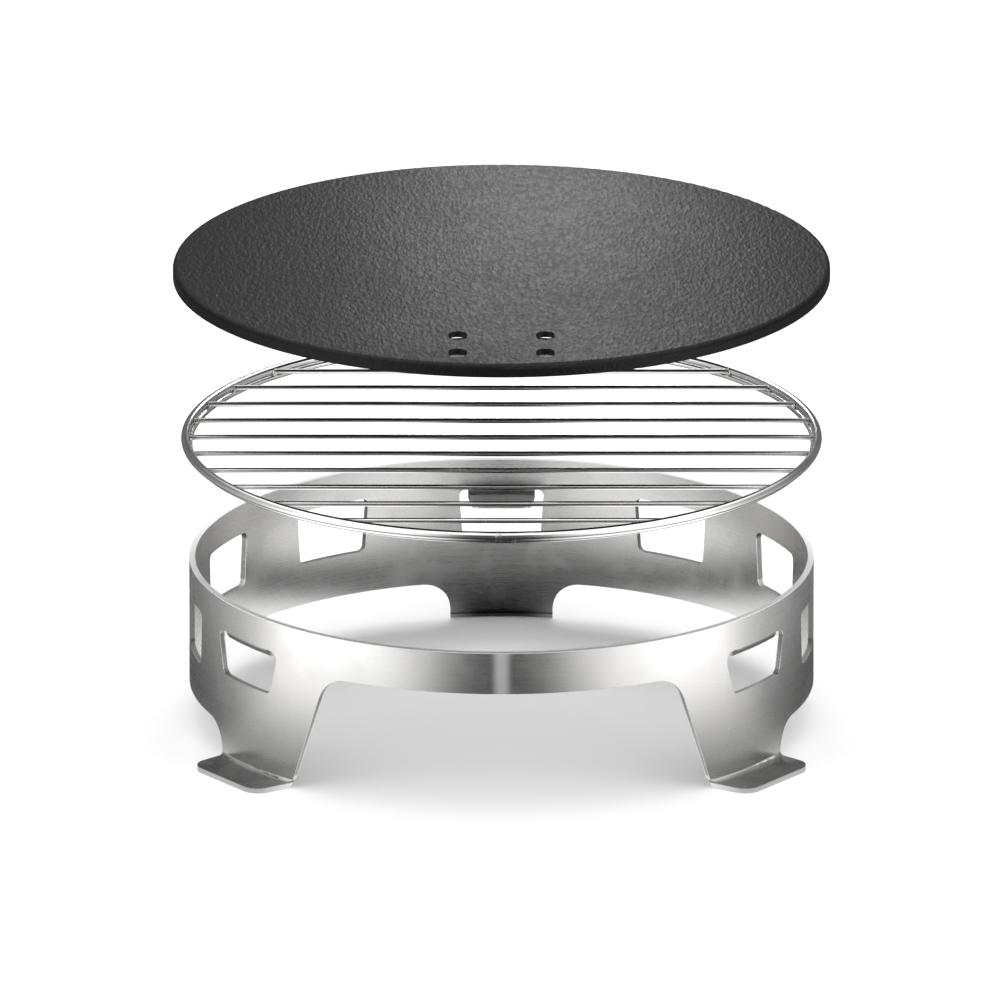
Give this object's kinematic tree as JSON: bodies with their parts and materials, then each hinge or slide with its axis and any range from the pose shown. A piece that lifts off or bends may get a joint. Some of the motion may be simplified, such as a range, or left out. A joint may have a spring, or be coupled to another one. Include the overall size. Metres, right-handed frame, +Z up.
{
  "type": "portable tabletop grill",
  "caption": "Portable grill: a round bent-sheet fire ring on splayed feet, with a loose wire grate and a flat black griddle plate set above it.",
  "frame": {"origin": "on the ground at the axis of the ring, between the three feet", "axes": "+Z up along the axis of the ring, -Y towards the front with its tall fuel opening, +X to the right seen from the front"},
  "size_m": [0.336, 0.347, 0.2433],
  "materials": {
    "stand_steel": "brushed round the ring, bright laser-cut edges",
    "grate_steel": "polished stainless wire, welded",
    "plate_coating": "black pebbled heat-proof coating, satin"
  },
  "bodies": {
    "stand": {"ring_stand": "stand_steel"},
    "grate": {"grate_rim": "grate_steel", "grate_support_ring": "grate_steel", "rod_01": "grate_steel", "rod_02": "grate_steel", "rod_03": "grate_steel", "rod_04": "grate_steel", "rod_05": "grate_steel", "rod_06": "grate_steel", "rod_07": "grate_steel", "rod_08": "grate_steel", "rod_09": "grate_steel", "rod_10": "grate_steel", "rod_11": "grate_steel"},
    "plate": {"griddle_plate": "plate_coating"}
  },
  "joints": [
    {"name": "grate_lift", "type": "slide", "parent": "stand", "child": "grate", "axis": [0, 0, 1], "range_m": [-0.0587, 0]},
    {"name": "plate_lift", "type": "slide", "parent": "grate", "child": "plate", "axis": [0, 0, 1], "range_m": [-0.0877, 0]}
  ]
}
